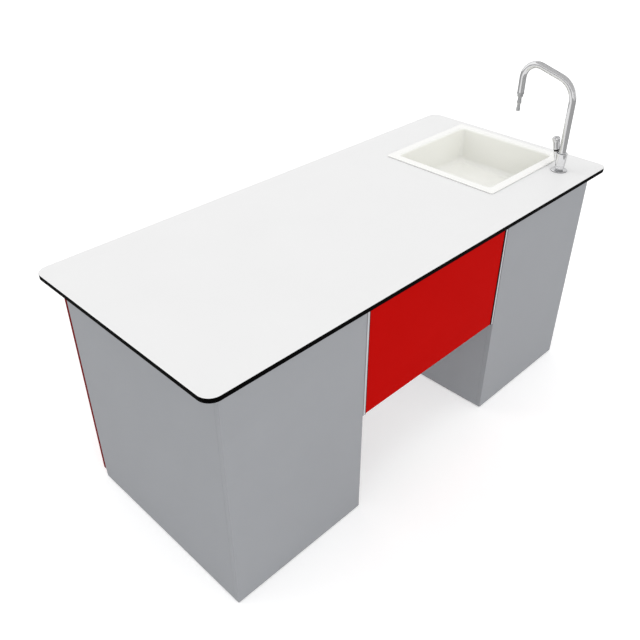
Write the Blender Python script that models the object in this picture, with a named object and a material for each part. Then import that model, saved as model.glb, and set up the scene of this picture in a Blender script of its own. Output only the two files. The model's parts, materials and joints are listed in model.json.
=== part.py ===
"""Teacher's laboratory table.

A compact-laminate worktop lies on two pedestal cabinets with hinged doors. A modesty panel closes
the class side of the knee space. A sink with its waste trap and a swan-neck tap serve one end.
Metres, +Z up. The origin is on the floor under the middle of the worktop, +X runs to the sink end
and +Y to the door side, where the teacher sits.
"""
import math

import bmesh
import bpy
from mathutils import Matrix, Vector

# Fits
TOUCH = 0.0003
RUN = 0.0004

# Worktop
TOP_LENGTH = 1.650
TOP_DEPTH = 0.712
TOP_THICK = 0.013
TOP_HEIGHT = 0.750
TOP_CORNER = 0.035

# Cabinets
END_OVERHANG = 0.050
CLASS_OVERHANG = 0.035
DOOR_OVERHANG = 0.026
CABINET_WIDTH = 0.465
BOARD = 0.016
SKID_HEIGHT = 0.003
SKID_WIDTH = 0.012
SKID_INSET = 0.030
BOTTOM_RAISE = 0.032
RAIL_HEIGHT = 0.070
SHELF_RAISE = 0.390
SHELF_SETBACK = 0.030
SHELF_SLACK = 0.001
BATTEN_HEIGHT = 0.020
BATTEN_WIDTH = 0.012
BATTEN_INSET = 0.020

# Doors
DOOR_THICK = 0.013
DOOR_GAP = 0.002
DOOR_REVEAL = 0.001
DOOR_RAISE = 0.027
DOOR_TOP_GAP = 0.003

# Door handles
HANDLE_CENTRES = 0.128
HANDLE_RADIUS = 0.0045
HANDLE_REACH = 0.0245
HANDLE_BEND = 0.012
HANDLE_INSET = 0.045
HANDLE_DROP = 0.120

# Concealed hinges: plan places are measured from the outer face and the front edge of the side
HINGE_INSET = 0.110
HINGE_AXIS_IN = 0.0060
HINGE_AXIS_OUT = 0.0095
CUP_CENTRE_IN = 0.0215
CUP_RADIUS = 0.0175
CUP_DEPTH = 0.0092
CUP_WALL = 0.0007
CUP_FLANGE = 0.0008
CUP_FLANGE_SIDE = 0.0012
CUP_FLANGE_TALL = 0.0260
LINK_PIVOT_IN = 0.0310
LINK_PIVOT_OUT = 0.0050
LINK_END_IN = 0.0118
LINK_END_OUT = 0.0053
LINK_RADIUS = 0.0012
LINK_HALF_HEIGHT = 0.0040
LINK_EYE = 0.0026
PIN_RADIUS = 0.0014
ARM_HALF_HEIGHT = 0.0065
ARM_NOSE = 0.0035
ARM_LENGTH = 0.072
ARM_NECK = 0.022
ARM_RISE = 0.004
ARM_DEPTH = 0.011

# Modesty panel
PANEL_THICK = 0.013
PANEL_SETBACK = 0.0015
PANEL_CLEAR = 0.359
PROFILE_WIDTH = 0.010
PROFILE_FLANGE = 0.026
PROFILE_THICK = 0.003
PROFILE_DEPTH = 0.045

# Sink
SINK_MARGIN = 0.031
SINK_SIDE = 0.420
SINK_CORNER = 0.010
RIM_RISE = 0.0035
RIM_FLAT = 0.020
RIM_ROUND = 0.010
RIM_EDGE = 0.0015
SEAL_THICK = 0.0010
SEAL_WIDTH = 0.016
SINK_WALL = 0.005
BOWL_DEPTH = 0.120
BOWL_TAPER = 0.006
BOWL_CORNER = 0.022
FLOOR_ROUND = 0.020
FLOOR_FALL = 0.003
CUTOUT_SLACK = 0.003
POCKET_SLACK = 0.002

# Waste
DRAIN_RADIUS = 0.0225
DRAIN_SEAT = 0.042
WASTE_FLANGE = 0.038
WASTE_FLANGE_THICK = 0.0025
WASTE_TUBE = 0.0215
WASTE_WALL = 0.0025
WASTE_TAIL = 0.075
GRATE_THICK = 0.003
GRATE_HOLE = 0.0035
GRATE_PITCH = 0.0105
GRATE_HOLES = 6
WASTE_NUT = 0.033
WASTE_NUT_HEIGHT = 0.010
TRAP_RADIUS = 0.034
TRAP_WALL = 0.0035
TRAP_HEIGHT = 0.130
TRAP_DIP = 0.090
TRAP_NUT = 0.030
TRAP_NUT_HEIGHT = 0.016
OUTLET_RADIUS = 0.016
OUTLET_DROP = 0.028
OUTLET_ENTRY = 0.002
OUTLET_REACH = 0.150

# Tap
TAP_FROM_END = 0.144
TAP_FROM_RAIL = 0.0295
TAP_FROM_SINK = 0.0482
FLANGE_RADIUS = 0.0255
FLANGE_THICK = 0.004
NECK_RADIUS = 0.0113
NECK_HEIGHT = 0.0045
BODY_FOOT = 0.0142
BODY_HEAD = 0.0170
BODY_TOP = 0.059
SHANK_RADIUS = 0.0083
SHANK_BORE = 0.0050
SHANK_DROP = 0.055
SHANK_ENTRY = 0.012
TAP_HOLE_SLACK = 0.0015
WASHER_RADIUS = 0.0180
WASHER_THICK = 0.003
TAP_NUT = 0.0160
TAP_NUT_HEIGHT = 0.009
SPOUT_RADIUS = 0.0105
SPOUT_WALL = 0.002
SPOUT_SOCKET = 0.016
SPOUT_REACH = 0.181
SPOUT_RISE = 0.273
SPOUT_SLOPE = math.radians(15.6)
SPOUT_BENDS = (0.070, 0.048)
SPOUT_END = 0.2125
KNOB_TILT = math.radians(12)
KNOB_OUT = 0.0222
KNOB_RAISE = 0.0658
KNOB_FOOT = 0.0102
KNOB_HEAD = 0.0120
KNOB_LENGTH = 0.040
KNOB_FLUTES = 12
KNOB_FLUTE_DEPTH = 0.0008
BOSS_RADIUS = 0.0088
BOSS_LENGTH = 0.030
BONNET_RADIUS = 0.0078
BONNET_HEIGHT = 0.007
SPINDLE_RADIUS = 0.0036
SPINDLE_ENTRY = 0.014

# Hose nozzle: radius and distance below the end of the spout
NOZZLE_BORE = 0.0030
NOZZLE_PLUG = 0.010
NOZZLE_STEPS = ((0.0112, 0.0), (0.0112, 0.004), (0.0093, 0.005), (0.0093, 0.013), (0.0062, 0.015),
                (0.0062, 0.026), (0.0076, 0.033), (0.0050, 0.037), (0.0050, 0.048), (0.0062, 0.055),
                (0.0058, 0.060))

# Facets
ROUND = 24
SMALL_ROUND = 12
ARC_STEPS = 5
SINK_SIDE_STEPS = 6

# Places that follow from the sizes
UNDERSIDE = TOP_HEIGHT - TOP_THICK
OUTER_X = TOP_LENGTH / 2 - END_OVERHANG
INNER_X = OUTER_X - CABINET_WIDTH
CLASS_Y = -TOP_DEPTH / 2 + CLASS_OVERHANG
SIDE_Y = CLASS_Y + BOARD + TOUCH
DOOR_Y = TOP_DEPTH / 2 - DOOR_OVERHANG - DOOR_THICK
FRONT_Y = DOOR_Y - DOOR_GAP
BOARD_TOP = UNDERSIDE - TOUCH
TAP = Vector((TOP_LENGTH / 2 - TAP_FROM_END, SIDE_Y + BOARD + TAP_FROM_RAIL, TOP_HEIGHT))
SINK_HALF = SINK_SIDE / 2
SINK = Vector((TOP_LENGTH / 2 - SINK_MARGIN - SINK_HALF, TAP.y + TAP_FROM_SINK + SINK_HALF, 0.0))
RIM_Z = TOP_HEIGHT + SEAL_THICK + 2 * TOUCH
RIM_TOP = RIM_Z + RIM_RISE
BOWL_HALF = SINK_HALF - RIM_FLAT - RIM_ROUND
BOWL_FLOOR = RIM_TOP - BOWL_DEPTH
BOWL_UNDER = BOWL_FLOOR - SINK_WALL
NECK_Z = FLANGE_THICK + 2 * TOUCH
BODY_Z = NECK_Z + NECK_HEIGHT + TOUCH

# Colours
WHITE_LAMINATE = (0.86, 0.86, 0.86)
GREY_BOARD = (0.36, 0.37, 0.39)
RED_BOARD = (0.48, 0.006, 0.005)
WARM_WHITE = (0.90, 0.89, 0.85)
CHROME = (0.75, 0.75, 0.76)
STEEL = (0.55, 0.55, 0.56)
BRASS = (0.62, 0.47, 0.22)
BLACK_RUBBER = (0.02, 0.02, 0.02)
WHITE_PLASTIC = (0.80, 0.80, 0.78)


def clear_scene():
    """Start from an empty scene."""
    for item in list(bpy.data.objects):
        bpy.data.objects.remove(item, do_unlink=True)


def make_material(name, colour, roughness, metallic):
    """One Principled material for one piece."""
    material = bpy.data.materials.new(name)
    material.use_nodes = True
    shader = material.node_tree.nodes["Principled BSDF"]
    shader.inputs["Base Color"].default_value = (*colour, 1.0)
    shader.inputs["Roughness"].default_value = roughness
    shader.inputs["Metallic"].default_value = metallic
    return material


def add_axis(name, place, tilt=0.0):
    """Empty on a joint's axis, its own Z turned from upright towards +Y by tilt."""
    axis = bpy.data.objects.new(name, None)
    axis.empty_display_size = 0.03
    axis.location = place
    axis.rotation_euler = (-tilt, 0.0, 0.0)
    bpy.context.scene.collection.objects.link(axis)
    return axis


def add_piece(name, mesh, colour, roughness=0.5, metallic=0.0, axis=None, smooth=False):
    """Finish a bmesh in world places as one named object, carried by its axis if it moves."""
    bmesh.ops.recalc_face_normals(mesh, faces=mesh.faces)
    if axis is not None:
        mesh.transform(axis.matrix_basis.inverted())
    data = bpy.data.meshes.new(name)
    mesh.to_mesh(data)
    mesh.free()
    if smooth:
        data.shade_smooth()
        data.set_sharp_from_angle(angle=math.radians(35))
    piece = bpy.data.objects.new(name, data)
    data.materials.append(make_material(name, colour, roughness, metallic))
    bpy.context.scene.collection.objects.link(piece)
    piece.parent = axis
    return piece


def boolean(piece, tool_mesh, name, operation="DIFFERENCE", axis=None):
    """Cut a piece with a hidden tool, or join the tool to it."""
    tool = add_piece(name, tool_mesh, STEEL, axis=axis)
    tool.hide_render = True
    tool.display_type = "WIRE"
    modifier = piece.modifiers.new(name, "BOOLEAN")
    modifier.operation = operation
    modifier.object = tool
    modifier.solver = "EXACT"


def add_box(mesh, low, high):
    """Box between two corners, given in any order along each axis."""
    low = Vector(low)
    high = Vector(high)
    size = Vector(abs(b - a) for a, b in zip(low, high))
    shift = Matrix.Translation((low + high) / 2)
    bmesh.ops.create_cube(mesh, size=1.0, matrix=shift @ Matrix.Diagonal((*size, 1.0)))


def box_mesh(*boxes):
    """Bmesh of one or more separate boxes."""
    mesh = bmesh.new()
    for low, high in boxes:
        add_box(mesh, low, high)
    return mesh


def loft(mesh, rings, capped):
    """Skin through rings of equal count; capped ends are filled, otherwise the last meets the first."""
    loops = [[mesh.verts.new(point) for point in ring] for ring in rings]
    pairs = list(zip(loops, loops[1:]))
    if capped:
        mesh.faces.new(loops[0])
        mesh.faces.new(loops[-1])
    else:
        pairs.append((loops[-1], loops[0]))
    for near, far in pairs:
        for here in range(len(near)):
            there = (here + 1) % len(near)
            mesh.faces.new((near[here], near[there], far[there], far[here]))


def polar(centre, radius, turn, height):
    """Point at a radius and an angle round a plan centre."""
    return Vector((centre[0] + radius * math.cos(turn), centre[1] + radius * math.sin(turn), height))


def circle(radius, height, count=ROUND, centre=(0.0, 0.0)):
    """Level ring of points."""
    return [polar(centre, radius, 2 * math.pi * step / count, height) for step in range(count)]


def hexagon(radius, height, count=ROUND, centre=(0.0, 0.0)):
    """Level ring of points along a hexagon's sides; radius is to its corners."""
    points = []
    for step in range(count):
        turn = 2 * math.pi * step / count
        off_corner = turn % (math.pi / 3) - math.pi / 6
        reach = radius * math.cos(math.pi / 6) / math.cos(off_corner)
        points.append(polar(centre, reach, turn, height))
    return points


def rounded_square(half, corner, height, centre=(0.0, 0.0), half_y=None, side_steps=1):
    """Level ring of points round a rectangle with round corners, its sides cut into steps."""
    half_y = half if half_y is None else half_y
    points = []
    for quarter, (sign_x, sign_y) in enumerate(((1, 1), (-1, 1), (-1, -1), (1, -1))):
        middle = Vector((centre[0] + sign_x * (half - corner), centre[1] + sign_y * (half_y - corner)))
        for step in range(ARC_STEPS + 1):
            turn = math.pi / 2 * (quarter + step / ARC_STEPS)
            points.append(polar(middle, corner, turn, height))
    closed = points + points[:1]
    stride = ARC_STEPS + 1
    for quarter in reversed(range(4)):
        last = quarter * stride + ARC_STEPS
        between = [closed[last].lerp(closed[last + 1], step / side_steps) for step in range(1, side_steps)]
        points[last + 1:last + 1] = between
    return points


def round_like(ring, radius, height, centre):
    """Circle whose points lie in the same directions as another ring's points."""
    points = []
    for point in ring:
        turn = math.atan2(point.y - centre[1], point.x - centre[0])
        points.append(polar(centre, radius, turn, height))
    return points


def turned(mesh, profile, place, tilt=0.0, count=ROUND, capped=True):
    """Turned shape through (radius, height) steps, set on a place and tipped towards +Y."""
    move = Matrix.Translation(place) @ Matrix.Rotation(-tilt, 4, "X")
    rings = [circle(radius, height, count) for radius, height in profile]
    loft(mesh, [[move @ point for point in ring] for ring in rings], capped)


def prism(mesh, outline, low, high):
    """Upright prism of a plan outline."""
    loft(mesh, [[Vector((x, y, height)) for x, y in outline] for height in (low, high)], True)


def bent_path(corners, bends):
    """Points along straight runs whose inner corners are each rounded to a radius."""
    points = [corners[0]]
    for before, here, after, bend in zip(corners, corners[1:], corners[2:], bends):
        into = (here - before).normalized()
        out = (after - here).normalized()
        turn = into.angle(out)
        tangent = bend * math.tan(turn / 2)
        start = here - into * tangent
        middle = here + (out - into).normalized() * (bend / math.cos(turn / 2))
        spin_axis = into.cross(out)
        steps = max(2, round(math.degrees(turn) / 12))
        for step in range(steps + 1):
            points.append(middle + Matrix.Rotation(turn * step / steps, 3, spin_axis) @ (start - middle))
    points.append(corners[-1])
    return points


def tube_rings(path, radius, side, count):
    """Rings of points square to a flat path; side is the direction across the path's plane."""
    rings = []
    for index, point in enumerate(path):
        before = path[max(index - 1, 0)]
        after = path[min(index + 1, len(path) - 1)]
        along = ((point - before).normalized() + (after - point).normalized()).normalized()
        across = side.cross(along)
        turns = [2 * math.pi * step / count for step in range(count)]
        rings.append([point + radius * (math.cos(turn) * side + math.sin(turn) * across) for turn in turns])
    return rings


def build_worktop():
    """Worktop with round corners, the sink's cut-out and the tap's hole."""
    mesh = bmesh.new()
    rings = [rounded_square(TOP_LENGTH / 2, TOP_CORNER, height, half_y=TOP_DEPTH / 2)
             for height in (UNDERSIDE, TOP_HEIGHT)]
    loft(mesh, rings, True)
    worktop = add_piece("worktop", mesh, WHITE_LAMINATE, 0.35)
    opening = bmesh.new()
    half = BOWL_HALF + SINK_WALL + CUTOUT_SLACK
    rings = [rounded_square(half, BOWL_CORNER, height, SINK)
             for height in (UNDERSIDE - TOP_THICK, TOP_HEIGHT + TOP_THICK)]
    loft(opening, rings, True)
    boolean(worktop, opening, "cutter_sink_opening")
    hole = bmesh.new()
    radius = SHANK_RADIUS + TAP_HOLE_SLACK
    turned(hole, ((radius, -2 * TOP_THICK), (radius, TOP_THICK)), TAP)
    boolean(worktop, hole, "cutter_tap_hole")


def build_sink():
    """Drop-in bowl with a flat rim, on its seal."""

    def ring(half, height, corner):
        return rounded_square(half, corner, height, SINK, side_steps=SINK_SIDE_STEPS)

    inner = []
    for step in range(ARC_STEPS):
        turn = math.pi / 2 * step / (ARC_STEPS - 1)
        half = BOWL_HALF + RIM_ROUND * (1 - math.sin(turn))
        height = RIM_TOP - RIM_ROUND * (1 - math.cos(turn))
        inner.append(ring(half, height, BOWL_CORNER))
    floor_half = BOWL_HALF - BOWL_TAPER
    for step in range(ARC_STEPS):
        turn = math.pi / 2 * step / (ARC_STEPS - 1)
        half = floor_half - FLOOR_ROUND * (1 - math.cos(turn))
        height = BOWL_FLOOR + FLOOR_ROUND * (1 - math.sin(turn))
        inner.append(ring(half, height, BOWL_CORNER))
    seat_z = BOWL_FLOOR - FLOOR_FALL
    guide = inner[-1]
    inner.append(round_like(guide, DRAIN_SEAT, seat_z, SINK))
    inner.append(round_like(guide, DRAIN_RADIUS, seat_z, SINK))
    outer = [round_like(guide, DRAIN_RADIUS, seat_z - SINK_WALL, SINK),
             round_like(guide, DRAIN_SEAT, seat_z - SINK_WALL, SINK),
             ring(floor_half - FLOOR_ROUND, BOWL_UNDER, BOWL_CORNER),
             ring(floor_half + SINK_WALL, BOWL_UNDER + FLOOR_ROUND, BOWL_CORNER),
             ring(BOWL_HALF + SINK_WALL, RIM_Z - RIM_ROUND, BOWL_CORNER),
             ring(BOWL_HALF + SINK_WALL, RIM_Z, BOWL_CORNER)]
    rim = [ring(SINK_HALF, RIM_Z, SINK_CORNER),
           ring(SINK_HALF, RIM_TOP - RIM_EDGE, SINK_CORNER),
           ring(SINK_HALF - RIM_EDGE, RIM_TOP, SINK_CORNER)]
    mesh = bmesh.new()
    loft(mesh, rim + inner + outer, False)
    add_piece("sink", mesh, WARM_WHITE, 0.25, smooth=True)

    seal = bmesh.new()
    inside = SINK_HALF - RIM_EDGE - SEAL_WIDTH
    low = TOP_HEIGHT + TOUCH
    high = low + SEAL_THICK
    loft(seal, [ring(SINK_HALF - RIM_EDGE, low, SINK_CORNER), ring(SINK_HALF - RIM_EDGE, high, SINK_CORNER),
                ring(inside, high, SINK_CORNER), ring(inside, low, SINK_CORNER)], False)
    add_piece("sink_seal", seal, WHITE_PLASTIC, 0.6)


def build_waste():
    """Flanged waste with its grate and nut, bottle trap and outlet pipe."""
    seat = SINK + Vector((0.0, 0.0, BOWL_FLOOR - FLOOR_FALL + TOUCH))
    bore = WASTE_TUBE - WASTE_WALL
    mesh = bmesh.new()
    turned(mesh, ((WASTE_FLANGE, 0.0), (WASTE_FLANGE - WASTE_FLANGE_THICK, WASTE_FLANGE_THICK),
                  (WASTE_TUBE + TOUCH, WASTE_FLANGE_THICK), (bore, 0.0), (bore, -WASTE_TAIL),
                  (WASTE_TUBE, -WASTE_TAIL), (WASTE_TUBE, 0.0)), seat, capped=False)
    add_piece("waste_flange", mesh, STEEL, 0.3, 1.0, smooth=True)

    grate = bmesh.new()
    grate_radius = bore - TOUCH
    turned(grate, ((grate_radius, -GRATE_THICK), (grate_radius, 0.0)), seat)
    grate_piece = add_piece("waste_grate", grate, STEEL, 0.3, 1.0)
    holes = bmesh.new()
    for index in range(GRATE_HOLES):
        turn = 2 * math.pi * index / GRATE_HOLES
        spot = seat + GRATE_PITCH * Vector((math.cos(turn), math.sin(turn), 0.0))
        turned(holes, ((GRATE_HOLE, -2 * GRATE_THICK), (GRATE_HOLE, GRATE_THICK)), spot, count=SMALL_ROUND)
    turned(holes, ((GRATE_HOLE, -2 * GRATE_THICK), (GRATE_HOLE, GRATE_THICK)), seat, count=SMALL_ROUND)
    boolean(grate_piece, holes, "cutter_grate_holes")

    under = BOWL_UNDER - FLOOR_FALL - TOUCH
    nut = bmesh.new()
    loft(nut, [hexagon(WASTE_NUT, under, centre=SINK),
               hexagon(WASTE_NUT, under - WASTE_NUT_HEIGHT, centre=SINK),
               circle(WASTE_TUBE + TOUCH, under - WASTE_NUT_HEIGHT, centre=SINK),
               circle(WASTE_TUBE + TOUCH, under, centre=SINK)], False)
    add_piece("waste_nut", nut, WHITE_PLASTIC, 0.45)

    dip_radius = bore - WASTE_WALL
    tail_end = seat.z - WASTE_TAIL
    trap_top = tail_end - TRAP_NUT_HEIGHT
    dip = bmesh.new()
    collar = tail_end - TOUCH
    dip_end = trap_top - TRAP_DIP
    turned(dip, ((WASTE_TUBE, collar), (dip_radius, collar), (dip_radius, dip_end), (bore, dip_end),
                 (bore, collar - WASTE_WALL), (WASTE_TUBE, collar - WASTE_WALL)), SINK, capped=False)
    add_piece("trap_dip_tube", dip, WHITE_PLASTIC, 0.45)

    nut = bmesh.new()
    high = collar - WASTE_WALL - TOUCH
    loft(nut, [hexagon(TRAP_NUT, high, centre=SINK), hexagon(TRAP_NUT, trap_top + TOUCH, centre=SINK),
               circle(bore + TOUCH, trap_top + TOUCH, centre=SINK),
               circle(bore + TOUCH, high, centre=SINK)], False)
    add_piece("trap_nut", nut, WHITE_PLASTIC, 0.45)

    body = bmesh.new()
    base = trap_top - TRAP_HEIGHT
    inside = TRAP_RADIUS - TRAP_WALL
    mouth = bore + TOUCH
    turned(body, ((inside, base + TRAP_WALL), (inside, trap_top - TRAP_WALL), (mouth, trap_top - TRAP_WALL),
                  (mouth, trap_top), (TRAP_RADIUS, trap_top), (TRAP_RADIUS, base + TRAP_WALL),
                  (inside, base)), SINK)
    trap = add_piece("bottle_trap", body, WHITE_PLASTIC, 0.45, smooth=True)
    outlet_z = trap_top - OUTLET_DROP
    path = [SINK + Vector((0.0, -inside + OUTLET_ENTRY, outlet_z)),
            SINK + Vector((0.0, -inside - OUTLET_REACH, outlet_z))]
    entry = SINK + Vector((0.0, -WASTE_TUBE - TOUCH, outlet_z))
    side = Vector((1.0, 0.0, 0.0))
    hole = bmesh.new()
    loft(hole, tube_rings([entry, path[1]], OUTLET_RADIUS + TOUCH, side, ROUND), True)
    boolean(trap, hole, "cutter_trap_outlet")
    pipe = bmesh.new()
    rings = tube_rings(path, OUTLET_RADIUS, side, ROUND)
    rings += reversed(tube_rings(path, OUTLET_RADIUS - WASTE_WALL, side, ROUND))
    loft(pipe, rings, False)
    add_piece("trap_outlet", pipe, WHITE_PLASTIC, 0.45, smooth=True)


def build_tap_mounting():
    """What holds the tap in the worktop: flange, neck ring, threaded shank, washer and nut."""
    bore = SHANK_RADIUS + RUN
    mesh = bmesh.new()
    round_off = FLANGE_THICK / 2
    turned(mesh, ((FLANGE_RADIUS, TOUCH), (FLANGE_RADIUS, round_off),
                  (FLANGE_RADIUS - round_off, FLANGE_THICK), (bore, FLANGE_THICK), (bore, TOUCH)), TAP,
           capped=False)
    add_piece("tap_flange", mesh, CHROME, 0.08, 1.0, smooth=True)
    mesh = bmesh.new()
    turned(mesh, ((NECK_RADIUS, NECK_Z), (NECK_RADIUS, NECK_Z + NECK_HEIGHT), (bore, NECK_Z + NECK_HEIGHT),
                  (bore, NECK_Z)), TAP, capped=False)
    add_piece("tap_neck_ring", mesh, BLACK_RUBBER, 0.4, smooth=True)
    mesh = bmesh.new()
    foot = -TOP_THICK - SHANK_DROP
    head = BODY_Z + SHANK_ENTRY
    turned(mesh, ((SHANK_RADIUS, foot), (SHANK_RADIUS, head), (SHANK_BORE, head), (SHANK_BORE, foot)), TAP,
           capped=False)
    add_piece("tap_shank", mesh, BRASS, 0.35, 1.0, smooth=True)
    washer_z = -TOP_THICK - TOUCH
    mesh = bmesh.new()
    turned(mesh, ((WASHER_RADIUS, washer_z), (WASHER_RADIUS, washer_z - WASHER_THICK),
                  (bore, washer_z - WASHER_THICK), (bore, washer_z)), TAP, capped=False)
    add_piece("tap_washer", mesh, BLACK_RUBBER, 0.7)
    high = TAP.z + washer_z - WASHER_THICK - TOUCH
    low = high - TAP_NUT_HEIGHT
    mesh = bmesh.new()
    loft(mesh, [hexagon(TAP_NUT, low, centre=TAP), hexagon(TAP_NUT, high, centre=TAP),
                circle(bore, high, centre=TAP), circle(bore, low, centre=TAP)], False)
    add_piece("tap_nut", mesh, BRASS, 0.35, 1.0)


def knob_axis_place():
    """Foot of the knob on its tilted axis."""
    return TAP + Vector((0.0, KNOB_OUT, KNOB_RAISE))


def build_tap_body():
    """Tapered body with sockets for shank and spout and a tilted boss for the headwork."""
    socket = SPOUT_RADIUS + RUN
    shank_socket = SHANK_RADIUS + RUN
    socket_floor = BODY_TOP - SPOUT_SOCKET
    shank_top = BODY_Z + SHANK_ENTRY + TOUCH
    mesh = bmesh.new()
    turned(mesh, ((BODY_FOOT, BODY_Z), (BODY_HEAD, BODY_TOP), (socket, BODY_TOP), (socket, socket_floor),
                  (SHANK_BORE, socket_floor), (SHANK_BORE, shank_top), (shank_socket, shank_top),
                  (shank_socket, BODY_Z)), TAP, capped=False)
    body = add_piece("tap_body", mesh, CHROME, 0.08, 1.0, smooth=True)
    foot = knob_axis_place()
    boss_top = -BONNET_HEIGHT - 2 * TOUCH
    boss = bmesh.new()
    turned(boss, ((BOSS_RADIUS, boss_top - BOSS_LENGTH), (BOSS_RADIUS, boss_top)), foot, KNOB_TILT)
    boolean(body, boss, "joiner_tap_boss", "UNION")
    clear = bmesh.new()
    turned(clear, ((socket, socket_floor), (socket, 2 * BODY_TOP)), TAP)
    boolean(body, clear, "cutter_spout_socket")
    spindle_hole = bmesh.new()
    radius = SPINDLE_RADIUS + RUN
    turned(spindle_hole, ((radius, boss_top - SPINDLE_ENTRY / 2), (radius, 0.0)), foot, KNOB_TILT,
           count=SMALL_ROUND)
    boolean(body, spindle_hole, "cutter_spindle_hole")

    bonnet = bmesh.new()
    turned(bonnet, ((BONNET_RADIUS, boss_top + TOUCH), (BONNET_RADIUS, -TOUCH), (radius, -TOUCH),
                    (radius, boss_top + TOUCH)), foot, KNOB_TILT, capped=False)
    add_piece("tap_headwork", bonnet, STEEL, 0.3, 1.0, smooth=True)


def build_knob(axis):
    """Fluted knob on its spindle, both on the tilted axis."""
    foot = knob_axis_place()
    move = Matrix.Translation(foot) @ Matrix.Rotation(-KNOB_TILT, 4, "X")
    count = 2 * KNOB_FLUTES

    def fluted(radius, height):
        points = circle(radius, height, count)
        for index, point in enumerate(points):
            shrink = 1.0 - (index % 2) * KNOB_FLUTE_DEPTH / radius
            points[index] = move @ Vector((point.x * shrink, point.y * shrink, height))
        return points

    socket = SPINDLE_RADIUS + TOUCH
    crown = KNOB_LENGTH - KNOB_FLUTE_DEPTH * 4
    inside = [[move @ point for point in circle(socket, height, count)] for height in (SPINDLE_ENTRY, 0.0)]
    outside = [fluted(KNOB_FOOT, 0.0), fluted(KNOB_HEAD, crown)]
    dome = [[move @ point for point in circle(radius, height, count)]
            for radius, height in ((KNOB_HEAD - KNOB_FLUTE_DEPTH * 3, KNOB_LENGTH - KNOB_FLUTE_DEPTH),
                                   (KNOB_FOOT / 2, KNOB_LENGTH))]
    mesh = bmesh.new()
    loft(mesh, inside + outside + dome, True)
    add_piece("tap_knob", mesh, CHROME, 0.1, 1.0, axis, smooth=True)
    spindle = bmesh.new()
    low = -BONNET_HEIGHT - 2 * TOUCH - SPINDLE_ENTRY / 2 + TOUCH
    turned(spindle, ((SPINDLE_RADIUS, low), (SPINDLE_RADIUS, SPINDLE_ENTRY - TOUCH)), foot, KNOB_TILT,
           count=SMALL_ROUND)
    add_piece("tap_spindle", spindle, STEEL, 0.3, 1.0, axis, smooth=True)


def build_spout(axis):
    """Swan-neck spout that turns in the body, with a stepped hose nozzle in its end."""
    seat = BODY_TOP - SPOUT_SOCKET + TOUCH
    far_rise = SPOUT_RISE + SPOUT_REACH * math.tan(SPOUT_SLOPE)
    corners = [TAP + Vector((0.0, 0.0, seat)), TAP + Vector((0.0, 0.0, SPOUT_RISE)),
               TAP + Vector((0.0, SPOUT_REACH, far_rise)), TAP + Vector((0.0, SPOUT_REACH, SPOUT_END))]
    path = bent_path(corners, SPOUT_BENDS)
    side = Vector((1.0, 0.0, 0.0))
    bore = SPOUT_RADIUS - SPOUT_WALL
    mesh = bmesh.new()
    rings = tube_rings(path, SPOUT_RADIUS, side, ROUND)
    rings += reversed(tube_rings(path, bore, side, ROUND))
    loft(mesh, rings, False)
    add_piece("tap_spout", mesh, CHROME, 0.08, 1.0, axis, smooth=True)

    end = TAP + Vector((0.0, SPOUT_REACH, SPOUT_END))
    plug = bore - TOUCH
    profile = [(NOZZLE_BORE, NOZZLE_PLUG), (plug, NOZZLE_PLUG), (plug, -TOUCH)]
    profile += [(radius, -TOUCH - drop) for radius, drop in NOZZLE_STEPS]
    profile += [(NOZZLE_BORE, -TOUCH - NOZZLE_STEPS[-1][1])]
    nozzle = bmesh.new()
    turned(nozzle, profile, end, capped=False)
    add_piece("tap_nozzle", nozzle, CHROME, 0.12, 1.0, axis, smooth=True)


def build_modesty_panel():
    """Red panel between two end profiles that are screwed to the cabinets."""
    front = CLASS_Y + PANEL_SETBACK
    back = front + PANEL_THICK
    outer = INNER_X - TOUCH
    inner = outer - PROFILE_WIDTH
    panel = box_mesh(((-inner + TOUCH, front, PANEL_CLEAR), (inner - TOUCH, back, BOARD_TOP)))
    add_piece("modesty_panel", panel, RED_BOARD, 0.3)
    flange = inner - PROFILE_FLANGE
    for side, name in ((-1, "left"), (1, "right")):
        outline = [(outer, front), (inner, front), (inner, back + TOUCH), (flange, back + TOUCH),
                   (flange, back + TOUCH + PROFILE_THICK), (inner, back + TOUCH + PROFILE_THICK),
                   (inner, front + PROFILE_DEPTH), (outer, front + PROFILE_DEPTH)]
        mesh = bmesh.new()
        prism(mesh, [(side * x, y) for x, y in outline], PANEL_CLEAR, BOARD_TOP)
        add_piece(f"modesty_profile_{name}", mesh, GREY_BOARD, 0.5)


def build_carcass(name, across):
    """Grey boards of one cabinet; across gives x for a distance in from the outer face."""
    floor = SKID_HEIGHT
    width = CABINET_WIDTH
    inside = BOARD + TOUCH
    rail = BOARD_TOP - RAIL_HEIGHT
    boards = {
        "outer_side": ((0.0, SIDE_Y, floor), (BOARD, FRONT_Y, BOARD_TOP)),
        "inner_side": ((width - BOARD, SIDE_Y, floor), (width, FRONT_Y, BOARD_TOP)),
        "class_panel": ((0.0, CLASS_Y, floor), (width, CLASS_Y + BOARD, BOARD_TOP)),
        "bottom": ((inside, SIDE_Y, BOTTOM_RAISE), (width - inside, FRONT_Y, BOTTOM_RAISE + BOARD)),
        "class_rail": ((inside, SIDE_Y, rail), (width - inside, SIDE_Y + BOARD, BOARD_TOP)),
        "door_rail": ((inside, FRONT_Y - BOARD, rail), (width - inside, FRONT_Y, BOARD_TOP)),
    }
    pieces = {}
    for board, (low, high) in boards.items():
        mesh = box_mesh(((across(low[0]), *low[1:]), (across(high[0]), *high[1:])))
        pieces[board] = add_piece(f"{name}_{board}", mesh, GREY_BOARD, 0.5)
    return pieces


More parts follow.
